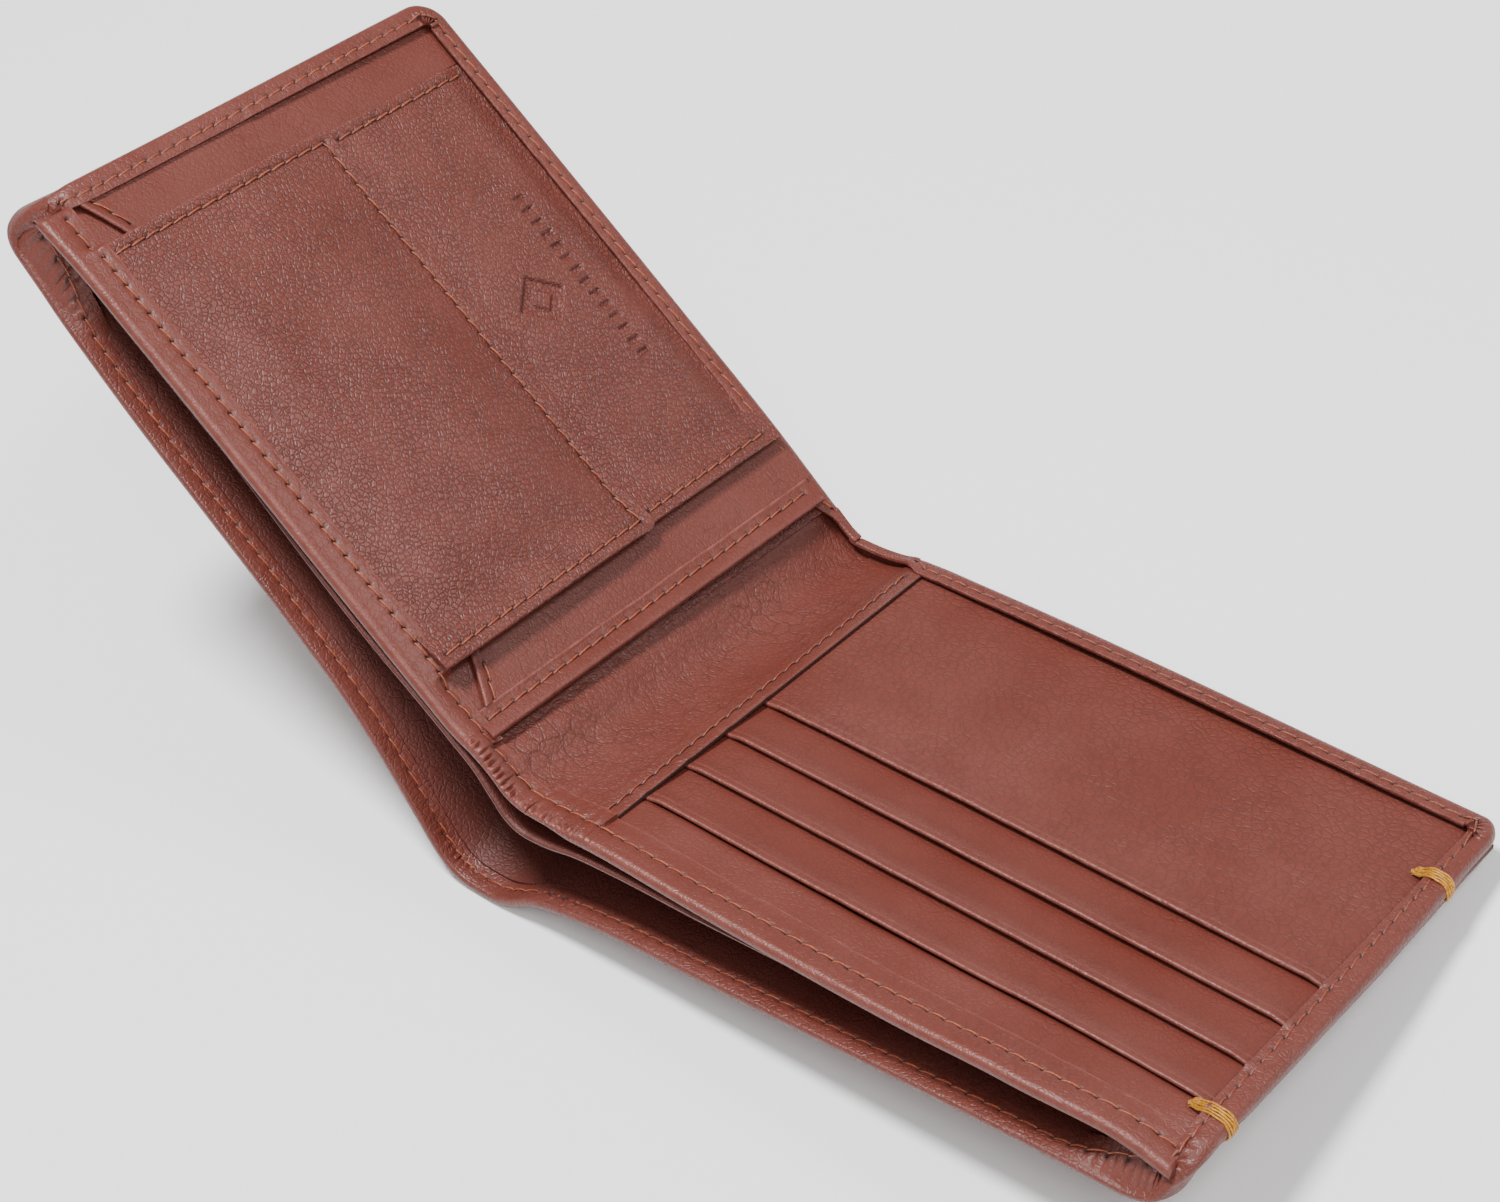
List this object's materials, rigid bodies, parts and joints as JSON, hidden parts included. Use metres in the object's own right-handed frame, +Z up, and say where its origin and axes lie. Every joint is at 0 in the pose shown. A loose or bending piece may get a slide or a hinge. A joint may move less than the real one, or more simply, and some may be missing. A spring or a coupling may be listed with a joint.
{
  "type": "bifold wallet",
  "caption": "Half-open leather bifold wallet: card slots on one half, a stitched pocket panel on the other, joined by a soft gusset, with a full-length bill compartment.",
  "frame": {"origin": "middle of the flat underside of the spine, where the half-open wallet rests on a surface", "axes": "+X from the spine towards the outer end of the card half, +Y from the bill opening towards the sewn bottom edge, +Z up from the surface it rests on"},
  "size_m": [0.2092, 0.0982, 0.0869],
  "materials": {
    "shell_leather": "satin fine grain",
    "panel_leather": "satin pebble grain",
    "slot_leather": "satin smooth grain",
    "divider_leather": "matt",
    "lining_leather": "matt",
    "pocket_cloth": "matt weave",
    "thread": "twisted thread",
    "gold_thread": "satin thread"
  },
  "bodies": {
    "card_half": {"shell_card_half": "shell_leather", "border_card_half": "shell_leather", "shell_lining_card_half": "lining_leather", "divider_card_half": "divider_leather", "inner_panel_card_half": "panel_leather", "gusset_sewn_edge": "panel_leather", "card_pocket_1": "slot_leather", "card_pocket_2": "slot_leather", "card_pocket_3": "slot_leather", "card_pocket_4": "slot_leather", "card_pocket_tail_2": "pocket_cloth", "card_pocket_tail_3": "pocket_cloth", "card_pocket_tail_4": "pocket_cloth", "bar_tack_1": "gold_thread", "bar_tack_2": "gold_thread", "seam_border_card_half": "thread", "seam_top_card_half": "thread", "seam_shell_top_card_half": "thread", "seam_gusset": "thread"},
    "spine": {"shell_spine": "shell_leather", "shell_lining_spine": "lining_leather", "divider_spine": "divider_leather", "hinge_gusset": "panel_leather", "seam_top_spine": "thread", "seam_shell_top_spine": "thread"},
    "pocket_half": {"shell_pocket_half": "shell_leather", "border_pocket_half": "shell_leather", "shell_lining_pocket_half": "lining_leather", "divider_pocket_half": "divider_leather", "inner_panel_pocket_half": "panel_leather", "slip_panel": "panel_leather", "slip_panel_hem": "panel_leather", "notch_pocket": "panel_leather", "cover_band": "panel_leather", "patch_pocket": "panel_leather", "seam_border_pocket_half": "thread", "seam_top_pocket_half": "thread", "seam_shell_top_pocket_half": "thread", "seam_slip_hem": "thread", "seam_notch": "thread", "seam_band": "thread", "seam_patch": "thread"}
  },
  "joints": [
    {"name": "fold_card", "type": "hinge", "parent": "card_half", "child": "spine", "pos_m": [0.01285, 0.00219, 0.01078], "axis": [0, 0.9799, -0.1995], "range_deg": [-18, 71.8]},
    {"name": "fold_pocket", "type": "hinge", "parent": "spine", "child": "pocket_half", "pos_m": [-0.00045, 0.00307, 0.01505], "axis": [0, 0.9799, -0.1995], "range_deg": [-18, 71.8]}
  ],
  "couplings": [
    {"joint": "fold_pocket", "follows": "fold_card", "ratio": 1}
  ]
}
